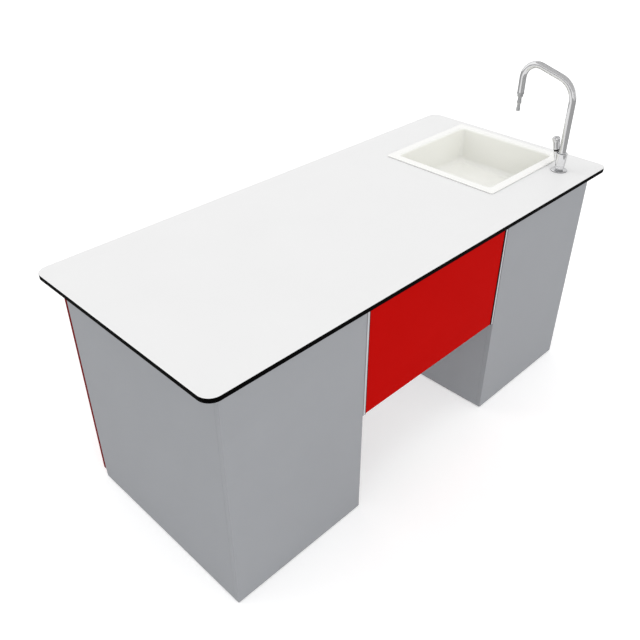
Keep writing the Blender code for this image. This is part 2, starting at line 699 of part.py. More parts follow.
def build_skids(name, across):
    """Plastic skids under the side boards, which the cabinet stands on."""
    for board, middle in (("outer", BOARD / 2), ("inner", CABINET_WIDTH - BOARD / 2)):
        low = (across(middle - SKID_WIDTH / 2), SIDE_Y + SKID_INSET, 0.0)
        high = (across(middle + SKID_WIDTH / 2), FRONT_Y - SKID_INSET, SKID_HEIGHT - TOUCH)
        add_piece(f"{name}_{board}_skid", box_mesh((low, high)), BLACK_RUBBER, 0.6)


def build_shelf(name, across):
    """Loose shelf on a batten at each side."""
    inside = BOARD + SHELF_SLACK
    low = (across(inside), SIDE_Y + SHELF_SLACK, SHELF_RAISE)
    high = (across(CABINET_WIDTH - inside), FRONT_Y - SHELF_SETBACK, SHELF_RAISE + BOARD)
    add_piece(f"{name}_shelf", box_mesh((low, high)), GREY_BOARD, 0.5)
    face = BOARD + TOUCH
    battens = {"outer": (face, face + BATTEN_WIDTH),
               "inner": (CABINET_WIDTH - face, CABINET_WIDTH - face - BATTEN_WIDTH)}
    for board, (near, far) in battens.items():
        low = (across(near), SIDE_Y + BATTEN_INSET, SHELF_RAISE - TOUCH - BATTEN_HEIGHT)
        high = (across(far), FRONT_Y - SHELF_SETBACK - BATTEN_INSET, SHELF_RAISE - TOUCH)
        add_piece(f"{name}_{board}_batten", box_mesh((low, high)), GREY_BOARD, 0.5)


def hinge_levels():
    """Names and middle heights of a door's two hinges."""
    return (("lower", DOOR_RAISE + HINGE_INSET), ("upper", UNDERSIDE - DOOR_TOP_GAP - HINGE_INSET))


def build_door(name, across, axis):
    """Overlay door with a recess for each hinge cup."""
    low = (across(DOOR_REVEAL), DOOR_Y, DOOR_RAISE)
    high = (across(CABINET_WIDTH - DOOR_REVEAL), DOOR_Y + DOOR_THICK, UNDERSIDE - DOOR_TOP_GAP)
    door = add_piece(f"{name}_door", box_mesh((low, high)), RED_BOARD, 0.3, axis=axis)
    recesses = bmesh.new()
    for _, height in hinge_levels():
        recess = ((CUP_RADIUS + TOUCH, -DOOR_GAP), (CUP_RADIUS + TOUCH, CUP_DEPTH + TOUCH))
        turned(recesses, recess, Vector((across(CUP_CENTRE_IN), DOOR_Y, height)), math.pi / 2)
    boolean(door, recesses, f"cutter_{name}_cup_recesses", axis=axis)


def build_hinge_cups(name, across, axis):
    """Flanged hinge cups let into the door's back."""
    inner_radius = CUP_RADIUS - CUP_WALL
    lip = -TOUCH
    face = lip - CUP_FLANGE
    flange_x = CUP_RADIUS + CUP_FLANGE_SIDE
    steps = [(inner_radius, inner_radius, CUP_DEPTH - CUP_WALL), (inner_radius, inner_radius, face),
             (flange_x, CUP_FLANGE_TALL, face), (flange_x, CUP_FLANGE_TALL, lip),
             (CUP_RADIUS, CUP_RADIUS, lip), (CUP_RADIUS, CUP_RADIUS, CUP_DEPTH)]
    turns = [2 * math.pi * step / ROUND for step in range(ROUND)]
    for level, height in hinge_levels():
        spot = Vector((across(CUP_CENTRE_IN), DOOR_Y, height))
        rings = [[spot + Vector((half_x * math.cos(turn), depth, half_z * math.sin(turn))) for turn in turns]
                 for half_x, half_z, depth in steps]
        cup = bmesh.new()
        loft(cup, rings, True)
        add_piece(f"{name}_{level}_hinge_cup", cup, STEEL, 0.3, 1.0, axis, smooth=True)


def build_handle(name, across, axis):
    """Upright bow handle near the door's free edge."""
    foot = DOOR_Y + DOOR_THICK + TOUCH
    bar = foot + HANDLE_REACH - HANDLE_RADIUS
    x = across(CABINET_WIDTH - DOOR_REVEAL - HANDLE_INSET)
    top = UNDERSIDE - DOOR_TOP_GAP - HANDLE_DROP
    corners = [Vector((x, foot, top)), Vector((x, bar, top)), Vector((x, bar, top - HANDLE_CENTRES)),
               Vector((x, foot, top - HANDLE_CENTRES))]
    handle = bmesh.new()
    path = bent_path(corners, (HANDLE_BEND, HANDLE_BEND))
    loft(handle, tube_rings(path, HANDLE_RADIUS, Vector((1.0, 0.0, 0.0)), SMALL_ROUND), True)
    add_piece(f"{name}_handle", handle, STEEL, 0.25, 1.0, axis, smooth=True)


def arc_points(centre, radius, start, end, steps):
    """Plan points along an arc, angles in degrees."""
    turns = [math.radians(start + (end - start) * step / steps) for step in range(steps + 1)]
    return [(centre[0] + radius * math.cos(turn), centre[1] + radius * math.sin(turn)) for turn in turns]


def build_hinge_arms(name, across):
    """Fixed hinge arms on the side board, forked at the nose for the link."""
    pivot = (LINK_PIVOT_IN, LINK_PIVOT_OUT)
    face = BOARD + TOUCH
    nose_low = LINK_PIVOT_IN - ARM_NOSE
    nose_high = LINK_PIVOT_IN + ARM_NOSE
    outline = [(face, -ARM_LENGTH), (face, -ARM_NECK), (nose_low, -ARM_RISE)]
    outline += arc_points(pivot, ARM_NOSE, 180, 0, 6)
    outline += [(nose_high, -ARM_RISE), (face + ARM_DEPTH, -ARM_NECK), (face + ARM_DEPTH, -ARM_LENGTH)]
    slot = LINK_HALF_HEIGHT + TOUCH
    bore = PIN_RADIUS + RUN
    for level, height in hinge_levels():
        arm = bmesh.new()
        prism(arm, [(across(x), FRONT_Y + y) for x, y in outline], height - ARM_HALF_HEIGHT,
              height + ARM_HALF_HEIGHT)
        piece = add_piece(f"{name}_{level}_hinge_arm", arm, STEEL, 0.3, 1.0)
        spot = Vector((across(LINK_PIVOT_IN), FRONT_Y + LINK_PIVOT_OUT, height))
        cutter = box_mesh((spot - Vector((2 * ARM_NOSE, LINK_EYE + RUN, slot)),
                           spot + Vector((2 * ARM_NOSE, 2 * ARM_NOSE, slot))))
        boolean(piece, cutter, f"cutter_{name}_{level}_hinge_slot")
        cutter = bmesh.new()
        turned(cutter, ((bore, -2 * ARM_HALF_HEIGHT), (bore, 2 * ARM_HALF_HEIGHT)), spot, count=SMALL_ROUND)
        boolean(piece, cutter, f"cutter_{name}_{level}_hinge_bore")


def build_hinge_links(name, across, axis):
    """Links that swing on the arms and lead into the cups, each with its pin."""
    pivot = Vector((LINK_PIVOT_IN, LINK_PIVOT_OUT))
    end = Vector((LINK_END_IN, LINK_END_OUT))
    heading = math.degrees(math.atan2(end.y - pivot.y, end.x - pivot.x))
    outline = arc_points(end, LINK_RADIUS, heading - 90, heading + 90, 4)
    outline += arc_points(pivot, LINK_EYE, heading + 30, heading + 330, 10)
    for level, height in hinge_levels():
        link = bmesh.new()
        prism(link, [(across(x), FRONT_Y + y) for x, y in outline], height - LINK_HALF_HEIGHT,
              height + LINK_HALF_HEIGHT)
        piece = add_piece(f"{name}_{level}_hinge_link", link, STEEL, 0.3, 1.0, axis)
        pin = bmesh.new()
        spot = (across(pivot.x), FRONT_Y + pivot.y, height - ARM_HALF_HEIGHT)
        turned(pin, ((PIN_RADIUS, 0.0), (PIN_RADIUS, 2 * ARM_HALF_HEIGHT)), spot, count=SMALL_ROUND)
        boolean(piece, pin, f"joiner_{name}_{level}_hinge_pin", "UNION", axis)


def build_cabinet(name, side):
    """One pedestal with its door; side is -1 at the left end and 1 at the sink end."""

    def across(reach):
        return side * (OUTER_X - reach)

    boards = build_carcass(name, across)
    build_skids(name, across)
    door_axis = add_axis(f"{name}_door_axis", (across(HINGE_AXIS_IN), FRONT_Y + HINGE_AXIS_OUT, 0.0))
    link_axis = add_axis(f"{name}_link_axis", (across(LINK_PIVOT_IN), FRONT_Y + LINK_PIVOT_OUT, 0.0))
    build_door(name, across, door_axis)
    build_hinge_cups(name, across, door_axis)
    build_handle(name, across, door_axis)
    build_hinge_arms(name, across)
    build_hinge_links(name, across, link_axis)
    return boards, across


def build_table():
    """Whole table."""
    clear_scene()
    build_worktop()
    build_sink()
    build_waste()
    build_tap_mounting()
    build_tap_body()
    build_knob(add_axis("knob_axis", knob_axis_place(), KNOB_TILT))
    build_spout(add_axis("spout_axis", TAP))
    build_modesty_panel()
    _, across = build_cabinet("left", -1)
    build_shelf("left", across)
    boards, _ = build_cabinet("right", 1)
    wall = BOWL_HALF + SINK_WALL + POCKET_SLACK
    pocket = box_mesh((SINK + Vector((0.0, -wall, BOWL_UNDER - POCKET_SLACK)),
                       SINK + Vector((wall, wall, TOP_HEIGHT))))
    boolean(boards["outer_side"], pocket, "cutter_sink_pocket")


build_table()
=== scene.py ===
"""Looks of the teacher's laboratory table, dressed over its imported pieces. Metres, +Z up."""
import json
import math

import bmesh
import bpy
from mathutils import Matrix, Vector


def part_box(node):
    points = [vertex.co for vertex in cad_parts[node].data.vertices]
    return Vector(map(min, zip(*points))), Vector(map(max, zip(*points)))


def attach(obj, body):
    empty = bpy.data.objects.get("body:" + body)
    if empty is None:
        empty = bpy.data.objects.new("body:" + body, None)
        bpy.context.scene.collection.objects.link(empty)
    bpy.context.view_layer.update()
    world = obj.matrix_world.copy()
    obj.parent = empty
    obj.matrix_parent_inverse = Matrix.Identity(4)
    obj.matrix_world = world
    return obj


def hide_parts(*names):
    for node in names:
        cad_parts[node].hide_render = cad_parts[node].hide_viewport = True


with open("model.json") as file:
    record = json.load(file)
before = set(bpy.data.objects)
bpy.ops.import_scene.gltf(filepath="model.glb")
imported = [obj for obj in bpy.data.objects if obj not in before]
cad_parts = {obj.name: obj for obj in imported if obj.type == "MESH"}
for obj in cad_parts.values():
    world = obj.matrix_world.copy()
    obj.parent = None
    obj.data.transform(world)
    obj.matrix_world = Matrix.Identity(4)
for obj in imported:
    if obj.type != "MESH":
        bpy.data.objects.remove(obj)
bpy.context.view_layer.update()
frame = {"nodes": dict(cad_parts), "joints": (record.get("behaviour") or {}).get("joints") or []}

# The class sits on the -Y side, and the doors open on the +Y side.
ALONG = Vector((1.0, 0.0, 0.0))
TO_DOORS = Vector((0.0, 1.0, 0.0))
UP = Vector((0.0, 0.0, 1.0))
FACE_CLASS = Matrix.Rotation(math.pi / 2, 4, "X")
FACE_DOORS = Matrix.Rotation(-math.pi / 2, 4, "X")
SIDES = {"left": -1.0, "right": 1.0}
LEVELS = ("lower", "upper")


def middle(node):
    """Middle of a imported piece's box."""
    low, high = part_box(node)
    return (low + high) / 2


TOP_LOW, TOP_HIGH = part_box("worktop")
SINK_AT = middle("sink")
SINK_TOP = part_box("sink")[1].z
DRAIN_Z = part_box("waste_grate")[1].z
TAP_AT = Vector((middle("tap_flange").x, middle("tap_flange").y, TOP_HIGH.z))
TAP = Matrix.Translation(TAP_AT)
KNOB_JOINT = next(joint for joint in frame["joints"] if joint["name"] == "knob_turn")
KNOB_TILT = UP.angle(Vector(KNOB_JOINT["axis"]))
KNOB = Matrix.Translation(Vector(KNOB_JOINT["pos_m"])) @ Matrix.Rotation(-KNOB_TILT, 4, "X")


def linear(code):
    """Linear colour of an sRGB hex code."""
    shares = [int(code[start:start + 2], 16) / 255 for start in (1, 3, 5)]
    return (*[s / 12.92 if s <= 0.04045 else ((s + 0.055) / 1.055) ** 2.4 for s in shares], 1.0)


def scale_of(size):
    """Texture scale that gives cells of a size in millimetres."""
    return 1000 / size


def add_node(tree, kind, sockets=None, feeds=None, **settings):
    """Add a node with its settings, values and links, and lead one of its outputs on to another socket."""
    made = tree.nodes.new(kind)
    for name, value in settings.items():
        setattr(made, name, value)
    for name, value in (sockets or {}).items():
        if isinstance(value, bpy.types.NodeSocket):
            tree.links.new(value, made.inputs[name])
        else:
            made.inputs[name].default_value = value
    if feeds:
        output, socket = feeds
        tree.links.new(made.outputs[output], socket)
    return made


def new_material(name, **values):
    """New material with its even values set on the shader's own sockets."""
    material = bpy.data.materials.new(name)
    material.use_nodes = True
    tree = material.node_tree
    shader = tree.nodes["Principled BSDF"]
    for socket, value in values.items():
        shader.inputs[socket.replace("_", " ")].default_value = value
    return material, tree, shader


def start_finish(name, **values):
    """New material for pieces of the table, with its tree, its shader and the object's coordinates."""
    material, tree, shader = new_material(name, **values)
    return material, tree, shader, add_node(tree, "ShaderNodeTexCoord").outputs["Object"]


def mottle(tree, shader, place, blotch, colours, roughness):
    """Drift of colour and gloss in blotches of a size in millimetres."""
    cloud = add_node(tree, "ShaderNodeTexNoise", {"Vector": place, "Scale": scale_of(blotch), "Detail": 3.0})
    share = cloud.outputs["Fac"]
    add_node(tree, "ShaderNodeMix", {"Factor": share, "A": linear(colours[0]), "B": linear(colours[1])},
             ("Result", shader.inputs["Base Color"]), data_type="RGBA")
    add_node(tree, "ShaderNodeMapRange", {"Value": share, "To Min": roughness[0], "To Max": roughness[1]},
             ("Result", shader.inputs["Roughness"]))


def roughen(tree, shader, place, grain, depth, strength, detail=2.0):
    """Fine relief in grains of a size in millimetres, with a depth in metres."""
    cells = add_node(tree, "ShaderNodeTexNoise", {"Vector": place, "Scale": scale_of(grain), "Detail": detail})
    add_node(tree, "ShaderNodeBump", {"Height": cells.outputs["Fac"], "Distance": depth, "Strength": strength},
             ("Normal", shader.inputs["Normal"]))


def white_compact_laminate():
    """Compact laminate, white melamine-resin face pressed on a fine-grain plate: satin, with a soft stipple."""
    material, tree, shader, place = start_finish("white_compact_laminate", Specular_IOR_Level=0.15)
    mottle(tree, shader, place, 180, ("#eeeeee", "#f1f1f1"), (0.36, 0.44))
    # The stipple is about 0.8 mm; it is drawn at 2.5 mm so that it shows.
    roughen(tree, shader, place, 2.5, 0.0001, 0.7)
    return material


def black_laminate_core():
    """Kraft-paper core of the laminate, sawn and polished: near black, with faint level layers."""
    material, tree, shader, place = start_finish("black_laminate_core", Specular_IOR_Level=0.02)
    mottle(tree, shader, place, 4, ("#030303", "#080808"), (0.42, 0.55))
    # The papers are about 0.2 mm thick; the layers are drawn 2.565 mm apart so that they show.
    # A wave texture repeats after 2 pi / 20 of its own length.
    layers = add_node(tree, "ShaderNodeTexWave",
                      {"Vector": place, "Scale": 2 * math.pi / 20 * scale_of(2.565), "Distortion": 0.4,
                       "Detail": 1.0}, wave_type="BANDS", bands_direction="Z")
    add_node(tree, "ShaderNodeBump", {"Height": layers.outputs["Fac"], "Distance": 0.00005, "Strength": 0.6},
             ("Normal", shader.inputs["Normal"]))
    return material


def grey_melamine():
    """Melamine-faced chipboard with a pearl press: matt grey, with a fine pebble and faint clouds."""
    material, tree, shader, place = start_finish("grey_melamine", Specular_IOR_Level=0.25)
    mottle(tree, shader, place, 90, ("#9d9fa3", "#a1a3a7"), (0.48, 0.58))
    # The pearl is about 0.6 mm; it is drawn at 2 mm so that it shows.
    roughen(tree, shader, place, 2, 0.00014, 0.8)
    return material


def grey_edge_band():
    """ABS edge band, extruded and trimmed: the board's grey, a little smoother, with faint trim lines."""
    material, tree, shader, place = start_finish("grey_edge_band", Specular_IOR_Level=0.25)
    mottle(tree, shader, place, 50, ("#9d9fa3", "#a1a3a7"), (0.42, 0.5))
    # The lines are about 0.3 mm apart; they are drawn 1.11 mm apart, and 25 mm long, so that they show.
    stretched = add_node(tree, "ShaderNodeMapping", {"Vector": place, "Scale": (1.0, 1.0, 1.11 / 25)})
    roughen(tree, shader, stretched.outputs["Vector"], 1.11, 0.00004, 0.4)
    return material


def red_laminate():
    """Red high-pressure laminate, matt: deep even colour with next to no gloss, and a slow orange-peel."""
    material, tree, shader, place = start_finish("red_laminate", Specular_IOR_Level=0.005)
    mottle(tree, shader, place, 120, ("#b80c09", "#bd0d0a"), (0.2, 0.27))
    # The waves of the peel are about 4 mm, and are drawn so.
    roughen(tree, shader, place, 4, 0.00005, 0.4)
    return material


def red_edge_band():
    """ABS edge band, 2 mm, rounded over: drawn a darker, duller red than the face along every edge of the
    board.
    """
    material, tree, shader, place = start_finish("red_edge_band", Specular_IOR_Level=0.015)
    mottle(tree, shader, place, 50, ("#700706", "#780807"), (0.32, 0.42))
    # The cutter's marks are about 0.3 mm; they are drawn at 1 mm so that they show.
    roughen(tree, shader, place, 1, 0.00003, 0.4, detail=1.0)
    return material


def white_gel_coat():
    """Gel coat of the moulded sink: glossy, faint waves, warm white, painted paler on the rim and floor for the
    light they get.
    """
    material, tree, shader, place = start_finish("white_gel_coat", Coat_Weight=0.6, Coat_Roughness=0.05)
    mottle(tree, shader, place, 70, ("#f0f0ea", "#f2f2ed"), (0.14, 0.22))
    # Painted light: the warm white turns paler between two depths under the rim's top, at the rim and then at
    # the floor.
    height = add_node(tree, "ShaderNodeSeparateXYZ", {"Vector": place}).outputs["Z"]
    for shaded_depth, lit_depth, painted_lit_colour in ((0.009, 0.001, "#fbfbf8"), (0.106, 0.119, "#fbfbf7")):
        share = add_node(tree, "ShaderNodeMapRange", {"Value": height, "From Min": SINK_TOP - shaded_depth,
                                                      "From Max": SINK_TOP - lit_depth})
        base = shader.inputs["Base Color"].links[0].from_socket
        add_node(tree, "ShaderNodeMix", {"Factor": share.outputs["Result"], "A": base, "B": linear(painted_lit_colour)},
                 ("Result", shader.inputs["Base Color"]), data_type="RGBA")
    # The waves of the mould are about 30 mm, and are drawn so.
    roughen(tree, shader, place, 30, 0.0002, 0.25, detail=1.0)
    return material


def polished_chrome():
    """Chrome plate on polished brass: mirror bright, greyer towards its outline, with a fine polishing haze."""
    material, tree, shader, place = start_finish("polished_chrome", Metallic=1.0,
                                                 Specular_Tint=linear("#8a8b8d"))
    mottle(tree, shader, place, 12, ("#ebebec", "#f0f0f1"), (0.05, 0.11))
    return material


def satin_chrome():
    """Chrome plate on blasted brass: an even grey, with the fine pits of the blasting."""
    material, tree, shader, place = start_finish("satin_chrome", Metallic=1.0)
    mottle(tree, shader, place, 6, ("#c4c5c6", "#cbcccd"), (0.42, 0.5))
    # The pits are about 0.1 mm; they are drawn at 0.6 mm so that they show.
    roughen(tree, shader, place, 0.6, 0.00003, 0.4, detail=1.0)
    return material


def satin_nickel():
    """Nickel-plated pressed steel: a soft sheen, with upright drawn lines."""
    material, tree, shader, place = start_finish("satin_nickel", Metallic=1.0)
    mottle(tree, shader, place, 6, ("#a9a8a5", "#b6b5b2"), (0.26, 0.36))
    # The lines are about 0.05 mm apart; they are drawn 0.714 mm apart, and 16.7 mm long, so that they show.
    stretched = add_node(tree, "ShaderNodeMapping", {"Vector": place, "Scale": (1.0, 1.0, 0.714 / 16.7)})
    roughen(tree, shader, stretched.outputs["Vector"], 0.714, 0.00003, 0.35)
    return material


def turned_brass():
    """Brass bar turned on a lathe: warm, dulled unevenly by handling."""
    material, tree, shader, place = start_finish("turned_brass", Metallic=1.0)
    mottle(tree, shader, place, 8, ("#b28e45", "#c4a258"), (0.28, 0.42))
    return material


def white_polypropylene():
    """Moulded polypropylene: soft white with a fine spark-eroded grain."""
    material, tree, shader, place = start_finish("white_polypropylene", Subsurface_Weight=0.04)
    mottle(tree, shader, place, 30, ("#e8e8e4", "#eeeeea"), (0.38, 0.5))
    # The grain is about 0.2 mm; it is drawn at 1.2 mm so that it shows.
    roughen(tree, shader, place, 1.2, 0.00006, 0.5)
    return material


def moulded_polymer(name, colours, roughness):
    """Rubber, foam or plastic, moulded: an even pale grey to black, dulled in patches by dust."""
    material, tree, shader, place = start_finish(name, Specular_IOR_Level=0.3)
    mottle(tree, shader, place, 10, colours, roughness)
    # The mould's grain is about 0.3 mm; it is drawn at 1 mm so that it shows.
    roughen(tree, shader, place, 1, 0.00006, 0.5)
    return material


def grey_powder_coat():
    """Powder-coated aluminium: pale satin grey with the coat's orange-peel."""
    material, tree, shader, place = start_finish("grey_powder_coat", Specular_IOR_Level=0.3)
    mottle(tree, shader, place, 40, ("#c2c3c6", "#c8c9cc"), (0.4, 0.5))
    # The peel is about 1 mm; it is drawn at 2 mm so that it shows.
    roughen(tree, shader, place, 2, 0.00008, 0.5, detail=1.0)
    return material


LAMINATE = white_compact_laminate()
CORE = black_laminate_core()
MELAMINE = grey_melamine()
EDGE_BAND = grey_edge_band()
RED = red_laminate()
RED_EDGE = red_edge_band()
GEL_COAT = white_gel_coat()
CHROME = polished_chrome()
SATIN_CHROME = satin_chrome()
NICKEL = satin_nickel()
BRASS = turned_brass()
POLYPROPYLENE = white_polypropylene()
RUBBER = moulded_polymer("black_rubber", ("#131313", "#1e1e1e"), (0.55, 0.75))
GREY_RUBBER = moulded_polymer("grey_rubber", ("#5c5d60", "#67686b"), (0.5, 0.65))
GREY_FOAM = moulded_polymer("grey_foam", ("#747578", "#7f8083"), (0.7, 0.85))
GREY_NYLON = moulded_polymer("grey_nylon", ("#cfd0d2", "#d8d9da"), (0.35, 0.45))
BLACK_PLASTIC = moulded_polymer("black_plastic", ("#131313", "#1e1e1e"), (0.4, 0.55))
POWDER = grey_powder_coat()


def place_piece(name, shape, body, finishes, stands_for=None, crease=35):
    """Turn a bmesh in the table's frame into a named piece on a body, sharp where it turns past the crease."""
    data = bpy.data.meshes.new(name)
    shape.to_mesh(data)
    shape.free()
    data.shade_smooth()
    data.set_sharp_from_angle(angle=math.radians(crease))
    for finish in finishes:
        data.materials.append(finish)
    piece = bpy.data.objects.new(name, data)
    bpy.context.scene.collection.objects.link(piece)
    # Bevels lean the shading of the flats beside them, so normals are weighted towards the larger faces.
    level = piece.modifiers.new("level_flats", "WEIGHTED_NORMAL")
    level.weight = 80
    level.keep_sharp = True
    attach(piece, body)
    if stands_for:
        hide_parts(stands_for)


def copy_of(node):
    """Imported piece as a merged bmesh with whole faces."""
    shape = bmesh.new()
    shape.from_mesh(frame["nodes"][node].data)
    bmesh.ops.remove_doubles(shape, verts=shape.verts, dist=0.00002)
    bmesh.ops.dissolve_limit(shape, angle_limit=math.radians(1), verts=shape.verts, edges=shape.edges)
    return shape


def edges_of(verts):
    """Edges at some vertices, each once and always in the same order."""
    return list(dict.fromkeys(edge for vert in verts for edge in vert.link_edges))


def round_off(shape, edges, width, steps):
    """Round off some edges of a shape."""
    bmesh.ops.bevel(shape, geom=edges, offset=width, offset_type="OFFSET", segments=steps, profile=0.5,
                    affect="EDGES", clamp_overlap=True, material=-1)


def ease(shape, width, steps=2):
    """Round off every edge that turns by more than 40 degrees."""
    sharp = [edge for edge in shape.edges if edge.calc_face_angle(0.0) > math.radians(40)]
    round_off(shape, sharp, width, steps)


def round_rim(shape, node, drawn=0.0):
    """Round over the outer edges of an upright board: its top, its foot, and its ends where drawn in."""
    low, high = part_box(node)
    limits = ((0, low.x + drawn), (0, high.x - drawn), (2, low.z), (2, high.z))
    rim = [edge for edge in shape.edges
           if any(all(abs(vert.co[axis] - limit) < 0.0001 for vert in edge.verts) for axis, limit in limits)]
    round_off(shape, rim, 0.0012, 4)


def paint_by_axis(shape, axis):
    """Second finish on the faces that don't look along an axis."""
    shape.normal_update()
    for face in shape.faces:
        face.material_index = 0 if abs(face.normal[axis]) > 0.99 else 1


def turned(profile, place, steps=64, edge=0.0):
    """Spin a (radius, height) profile into a solid, ease its edges and place it."""
    shape = bmesh.new()
    chain = [shape.verts.new((radius, 0.0, height)) for radius, height in profile]
    lines = [shape.edges.new(pair) for pair in zip(chain, chain[1:])]
    # A profile that starts on the axis ends there too, and any other is a closed ring.
    if profile[0][0]:
        lines.append(shape.edges.new((chain[-1], chain[0])))
    bmesh.ops.spin(shape, geom=chain + lines, cent=(0.0, 0.0, 0.0), axis=UP, angle=2 * math.pi, steps=steps,
                   use_merge=True)
    bmesh.ops.remove_doubles(shape, verts=shape.verts, dist=0.000001)
    bmesh.ops.recalc_face_normals(shape, faces=shape.faces)
    if edge:
        ease(shape, edge)
    bmesh.ops.transform(shape, matrix=place, verts=shape.verts)
    return shape


def drawn_tube(place, radius, moves, sides):
    """Draw a ring along straight runs and bends (centre, axis, angle, steps), and close its ends."""
    shape = bmesh.new()
    ring = bmesh.ops.create_circle(shape, cap_ends=False, radius=radius, segments=sides, matrix=place)["verts"]
    loop = edges_of(ring)
    bmesh.ops.edgeloop_fill(shape, edges=loop)
    for move in moves:
        straight = isinstance(move, Vector)
        if straight:
            made = bmesh.ops.extrude_edge_only(shape, edges=loop)["geom"]
        else:
            centre, axis, angle, steps = move
            made = bmesh.ops.spin(shape, geom=ring + loop, cent=centre, axis=axis, angle=angle,
                                  steps=steps)["geom_last"]
        ring = [item for item in made if isinstance(item, bmesh.types.BMVert)]
        if straight:
            bmesh.ops.translate(shape, vec=move, verts=ring)
        ends = set(ring)
        loop = [edge for edge in edges_of(ring) if ends.issuperset(edge.verts)]
    bmesh.ops.edgeloop_fill(shape, edges=loop)
    bmesh.ops.recalc_face_normals(shape, faces=shape.faces)
    return shape


def outline(shape, half, corner, height, centre, steps=8, cuts=0):
    """Level loop of edges round a rectangle with round corners, its straight sides cut if asked."""
    place = Matrix.Translation((centre.x, centre.y, height)) @ Matrix.Diagonal((*half, 1.0, 1.0))
    flat = bmesh.ops.create_grid(shape, x_segments=1, y_segments=1, size=1.0, matrix=place)["verts"]
    before = set(shape.faces) - set(flat[0].link_faces)
    bmesh.ops.bevel(shape, geom=flat, offset=corner, offset_type="OFFSET", segments=steps, profile=0.5,
                    affect="VERTICES", material=-1)
    face = next(face for face in shape.faces if face not in before)
    loop = list(face.edges)
    bmesh.ops.delete(shape, geom=[face], context="FACES_ONLY")
    if cuts:
        sides = sorted(loop, key=lambda edge: edge.calc_length())[-4:]
        made = bmesh.ops.subdivide_edges(shape, edges=sides, cuts=cuts)["geom_inner"]
        inner = [item for item in made if isinstance(item, bmesh.types.BMVert)]
        kept = [edge for edge in loop if edge.is_valid]
        loop = list(dict.fromkeys(kept + edges_of(inner)))
    return loop


def round_loop(shape, radius, height, centre, count):
    """Level loop of edges round a circle."""
    place = Matrix.Translation((centre.x, centre.y, height))
    return edges_of(bmesh.ops.create_circle(shape, cap_ends=False, radius=radius, segments=count,
                                            matrix=place)["verts"])


def boolean_of(base, tool, operation):
    """Cut or join two closed bmeshes with a Boolean modifier on short-lived objects."""
    items = []
    for shape in (base, tool):
        data = bpy.data.meshes.new("blank")
        shape.to_mesh(data)
        shape.free()
        items.append(bpy.data.objects.new("blank", data))
        bpy.context.scene.collection.objects.link(items[-1])
    modifier = items[0].modifiers.new("blank", "BOOLEAN")
    modifier.operation = operation
    modifier.object = items[1]
    modifier.solver = "EXACT"
    result = bmesh.new()
    result.from_object(items[0], bpy.context.evaluated_depsgraph_get())
    for item in items:
        data = item.data
        bpy.data.objects.remove(item)
        bpy.data.meshes.remove(data)
    return result


def add_shape(shape, other):
    """Add one bmesh to another as a separate body."""
    data = bpy.data.meshes.new("blank")
    other.to_mesh(data)
    other.free()
    shape.from_mesh(data)
    bpy.data.meshes.remove(data)


def make_worktop():
    """White slab with a black core edge, cut for the sink and the tap."""
    corner = 0.035
    sink_half, sink_corner = 0.188, 0.022
    tap_hole = 0.0098
    half = (TOP_HIGH - TOP_LOW) / 2
    shape = bmesh.new()
    rim = outline(shape, (half.x, half.y), corner, TOP_HIGH.z, middle("worktop"), steps=16)
    rim += outline(shape, (sink_half, sink_half), sink_corner, TOP_HIGH.z, SINK_AT)
    rim += round_loop(shape, tap_hole, TOP_HIGH.z, TAP_AT, 48)
    flat = bmesh.ops.triangle_fill(shape, use_beauty=True, use_dissolve=True, edges=rim)["geom"]
    faces = [item for item in flat if isinstance(item, bmesh.types.BMFace)]
    made = bmesh.ops.extrude_face_region(shape, geom=faces, use_keep_orig=True)["geom"]
    verts = [item for item in made if isinstance(item, bmesh.types.BMVert)]
    bmesh.ops.translate(shape, vec=UP * (TOP_LOW.z - TOP_HIGH.z), verts=verts)
    bmesh.ops.recalc_face_normals(shape, faces=shape.faces)
    ease(shape, 0.0005)
    paint_by_axis(shape, 2)
    place_piece("worktop_slab", shape, "table", (LAMINATE, CORE), "worktop", crease=30)


def make_sink():
    """Drop-in bowl: rim with an eased edge, rolled lip, tapered walls and a floor that falls to the drain."""
    rim_low = SINK_TOP - 0.0035
    floor = SINK_TOP - 0.120
    seat = floor - 0.003
    seat_low = seat - 0.005
    # Level surfaces fall by a hair, so that each bridged pair of loops has its own two heights.
    hair = 0.0003
    lip, bowl_top, lip_steps = 0.005, 0.180, 6
    foot, bowl_foot, foot_steps = 0.020, 0.174, 7
    bowl_corner, outer_corner = 0.015, 0.022
    # Each loop is half a width, a corner radius and a height.
    inside = [(0.2100, 0.0070, rim_low), (0.2100, 0.0070, SINK_TOP - 0.0015),
              (0.20955, 0.0068, SINK_TOP - 0.0006), (0.2085, 0.0062, SINK_TOP)]
    for step in range(lip_steps + 1):
        turn = math.pi / 2 * step / lip_steps
        inside.append((bowl_top + lip * (1 - math.sin(turn)), bowl_corner,
                       SINK_TOP - hair - lip * (1 - math.cos(turn))))
    for step in range(foot_steps + 1):
        turn = math.pi / 2 * step / foot_steps
        inside.append((bowl_foot - foot * (1 - math.cos(turn)), bowl_corner,
                       floor + foot * (1 - math.sin(turn))))
    drain = ((0.046, seat + hair), (0.042, seat), (0.0225, seat - hair), (0.0225, seat_low),
             (0.042, seat_low + hair))
    under = ((0.154, outer_corner, floor - 0.005), (0.179, outer_corner, floor + 0.015),
             (0.185, outer_corner, rim_low - 0.010), (0.185, outer_corner, rim_low - hair))
    shape = bmesh.new()
    loops = [outline(shape, (half, half), corner, height, SINK_AT, cuts=6) for half, corner, height in inside]
    count = len(loops[0])
    loops += [round_loop(shape, radius, height, SINK_AT, count) for radius, height in drain]
    loops += [outline(shape, (half, half), corner, height, SINK_AT, cuts=6) for half, corner, height in under]
    for near, far in zip(loops, loops[1:] + loops[:1]):
        bmesh.ops.bridge_loops(shape, edges=near + far)
    bmesh.ops.recalc_face_normals(shape, faces=shape.faces)
    place_piece("sink_bowl", shape, "table", (GEL_COAT,), "sink", crease=40)
    place_piece("sink_bedding", copy_of("sink_seal"), "table", (GREY_RUBBER,), "sink_seal")


